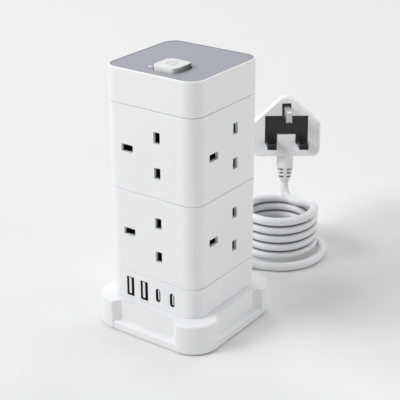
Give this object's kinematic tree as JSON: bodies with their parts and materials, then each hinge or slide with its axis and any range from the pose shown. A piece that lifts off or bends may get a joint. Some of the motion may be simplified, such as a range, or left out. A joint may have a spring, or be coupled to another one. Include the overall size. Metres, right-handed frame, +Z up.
{
  "type": "tower power strip",
  "caption": "Square white tower with three-pin sockets on all four faces, USB ports, a top power button, a wide recessed base and a coiled mains lead with a fused plug",
  "frame": {"origin": "centre of the tower's square base on the surface that it stands on", "axes": "+Z up along the tower's axis; -Y out of the face with the USB ports; +X to the right, seen from that face; the lead leaves towards +Y"},
  "size_m": [0.0864, 0.2016, 0.1731],
  "materials": {
    "white_housing": "satin white moulded plastic",
    "grey_panel": "satin lavender-grey plastic",
    "white_button": "satin white plastic",
    "clear_lens": "frosted light pipe",
    "black_moulding": "black moulded plastic",
    "shutter_grey": "dark moulded plastic",
    "contact_brass": "bright pressed brass",
    "steel": "plated steel",
    "usb_steel": "dark plated steel",
    "usb_white": "white plastic tongue",
    "circuit_board": "green circuit board",
    "charger": "wound transformer and capacitors",
    "feet": "matt black rubber",
    "cord_white": "white flexible PVC sheath",
    "plug_white": "satin white moulded plastic",
    "plug_black": "black moulded plastic",
    "earth_pin": "nickel-plated brass pin",
    "line_pins": "dark pin ends",
    "fuse": "ceramic cartridge with metal caps"
  },
  "bodies": {
    "tower": {"base_shell": "white_housing", "base_cover": "white_housing", "rubber_feet": "feet", "cover_screws": "steel", "tie_screws": "steel", "cord_gland": "cord_white", "cord_clamp": "white_housing", "clamp_screws": "steel", "inner_lead": "cord_white", "usb_housing": "white_housing", "usb_board": "circuit_board", "charger_parts": "charger", "usb_a_shells": "usb_steel", "usb_a_tongues": "usb_white", "usb_c_shells": "usb_steel", "usb_c_tongues": "usb_white", "lower_socket_housing": "white_housing", "upper_socket_housing": "white_housing", "lower_shutter_guides": "black_moulding", "upper_shutter_guides": "black_moulding", "lower_contact_carrier": "black_moulding", "upper_contact_carrier": "black_moulding", "lower_shutter_springs": "steel", "upper_shutter_springs": "steel", "live_contacts": "contact_brass", "neutral_contacts": "contact_brass", "earth_contacts": "contact_brass", "top_cap": "white_housing", "top_panel": "grey_panel", "button_spring": "steel", "power_switch": "black_moulding", "control_board": "circuit_board", "indicator_lens": "clear_lens", "cord_lead": "cord_white", "cord_coil": "cord_white", "cord_tail": "cord_white", "plug_boot": "cord_white", "plug_body": "plug_white", "plug_insert": "plug_black", "plug_earth_pin": "earth_pin", "plug_live_pin": "line_pins", "plug_neutral_pin": "line_pins", "pin_sleeves": "plug_black"},
    "lower_front_shutter": {"lower_front_shutter": "shutter_grey"},
    "lower_right_shutter": {"lower_right_shutter": "shutter_grey"},
    "lower_back_shutter": {"lower_back_shutter": "shutter_grey"},
    "lower_left_shutter": {"lower_left_shutter": "shutter_grey"},
    "upper_front_shutter": {"upper_front_shutter": "shutter_grey"},
    "upper_right_shutter": {"upper_right_shutter": "shutter_grey"},
    "upper_back_shutter": {"upper_back_shutter": "shutter_grey"},
    "upper_left_shutter": {"upper_left_shutter": "shutter_grey"},
    "button": {"power_button": "white_button"},
    "fuse_drawer": {"fuse_carrier": "plug_black", "fuse": "fuse"}
  },
  "joints": [
    {"name": "lower_front_shutter_slide", "type": "slide", "parent": "tower", "child": "lower_front_shutter", "axis": [1, 0, 0], "range_m": [0, 0.0052], "stiffness_N_per_m": 100, "springref_m": -0.002, "deforming": ["lower_shutter_springs"]},
    {"name": "lower_right_shutter_slide", "type": "slide", "parent": "tower", "child": "lower_right_shutter", "axis": [0, 1, 0], "range_m": [0, 0.0052], "stiffness_N_per_m": 100, "springref_m": -0.002, "deforming": ["lower_shutter_springs"]},
    {"name": "lower_back_shutter_slide", "type": "slide", "parent": "tower", "child": "lower_back_shutter", "axis": [-1, 0, 0], "range_m": [0, 0.0052], "stiffness_N_per_m": 100, "springref_m": -0.002, "deforming": ["lower_shutter_springs"]},
    {"name": "lower_left_shutter_slide", "type": "slide", "parent": "tower", "child": "lower_left_shutter", "axis": [0, -1, 0], "range_m": [0, 0.0052], "stiffness_N_per_m": 100, "springref_m": -0.002, "deforming": ["lower_shutter_springs"]},
    {"name": "upper_front_shutter_slide", "type": "slide", "parent": "tower", "child": "upper_front_shutter", "axis": [1, 0, 0], "range_m": [0, 0.0052], "stiffness_N_per_m": 100, "springref_m": -0.002, "deforming": ["upper_shutter_springs"]},
    {"name": "upper_right_shutter_slide", "type": "slide", "parent": "tower", "child": "upper_right_shutter", "axis": [0, 1, 0], "range_m": [0, 0.0052], "stiffness_N_per_m": 100, "springref_m": -0.002, "deforming": ["upper_shutter_springs"]},
    {"name": "upper_back_shutter_slide", "type": "slide", "parent": "tower", "child": "upper_back_shutter", "axis": [-1, 0, 0], "range_m": [0, 0.0052], "stiffness_N_per_m": 100, "springref_m": -0.002, "deforming": ["upper_shutter_springs"]},
    {"name": "upper_left_shutter_slide", "type": "slide", "parent": "tower", "child": "upper_left_shutter", "axis": [0, -1, 0], "range_m": [0, 0.0052], "stiffness_N_per_m": 100, "springref_m": -0.002, "deforming": ["upper_shutter_springs"]},
    {"name": "button_press", "type": "slide", "parent": "tower", "child": "button", "axis": [0, 0, -1], "range_m": [0, 0.0025], "stiffness_N_per_m": 250, "springref_m": -0.003, "deforming": ["button_spring"]},
    {"name": "fuse_carrier_slide", "type": "slide", "parent": "tower", "child": "fuse_drawer", "axis": [0.5821, -0.8011, 0.1392], "range_m": [0, 0.0086]}
  ]
}
